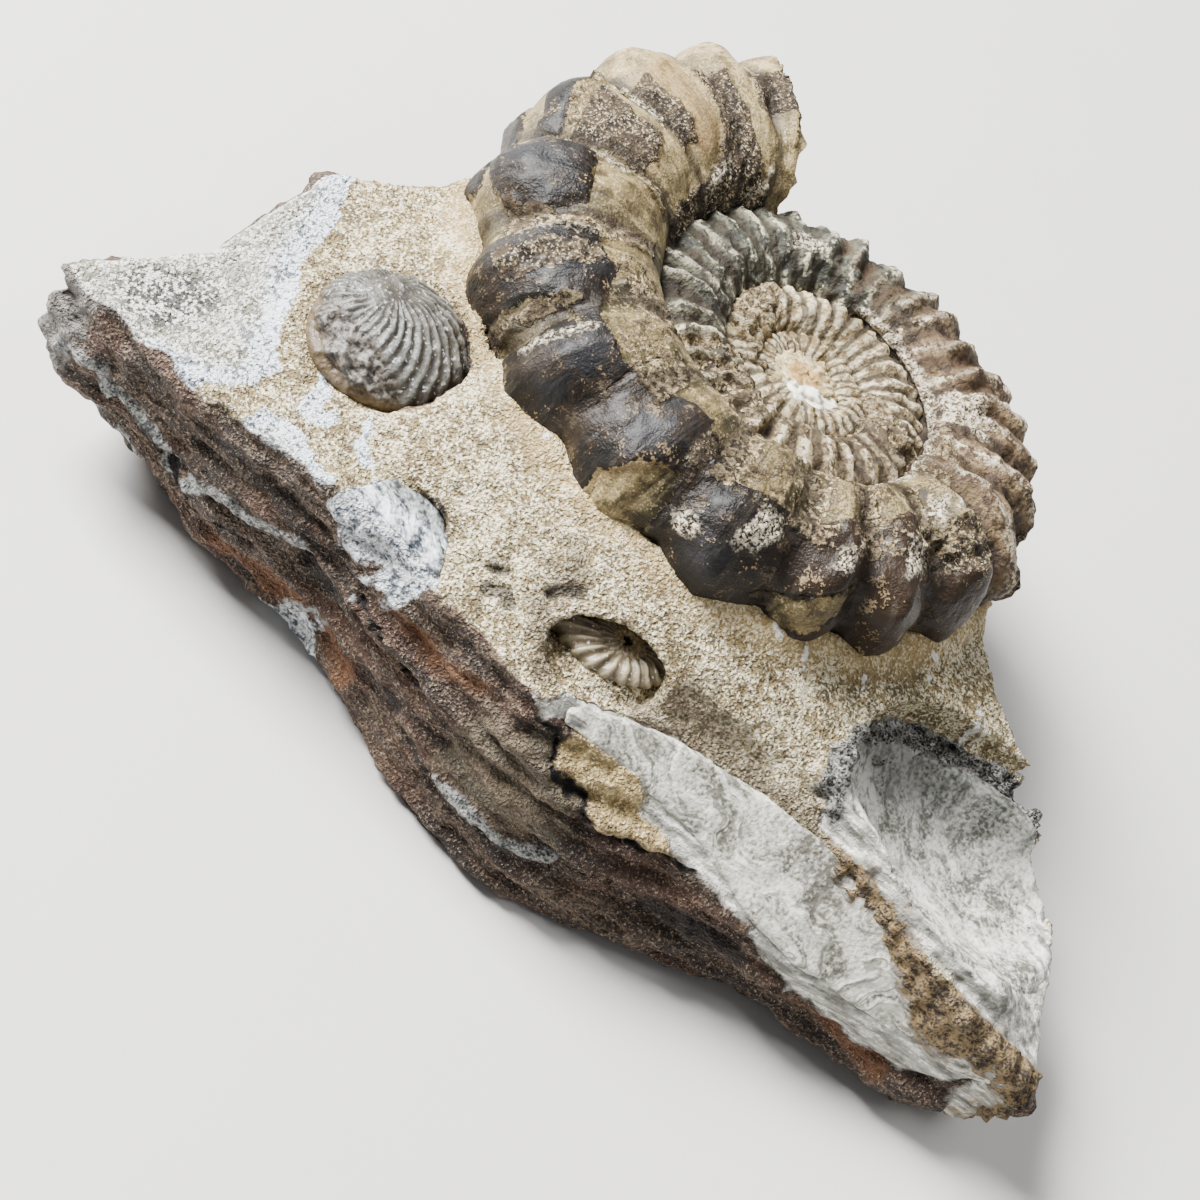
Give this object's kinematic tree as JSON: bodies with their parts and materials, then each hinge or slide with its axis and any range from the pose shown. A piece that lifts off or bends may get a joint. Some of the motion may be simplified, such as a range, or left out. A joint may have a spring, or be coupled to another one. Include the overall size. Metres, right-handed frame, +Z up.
{
  "type": "ammonite fossil",
  "caption": "Loose piece of sandy rock that holds a coiled ribbed ammonite standing half out of it, with smaller shells bedded beside it, for display on a shelf or table",
  "frame": {"origin": "middle of the bounding box, on the flat base that the rock rests on", "axes": "+X along the rock from its pale left tip to the thin right tip with the hollow, +Y towards the side where the ammonite overhangs, +Z up, out of the bedding face"},
  "size_m": [0.0828, 0.0594, 0.0254],
  "materials": {
    "rock": "rough",
    "ammonite_shell": "satin",
    "dark_shell": "satin",
    "olive_shell": "satin",
    "pearl": "gloss",
    "silver_shell": "satin",
    "grey_shell": "satin"
  },
  "bodies": {
    "root": {"matrix": "rock", "ammonite": "ammonite_shell", "ribbed_shell": "dark_shell", "small_ammonite": "olive_shell", "pearly_scrap": "pearl", "shell_sheet": "silver_shell", "shell_lining": "grey_shell"}
  },
  "joints": []
}
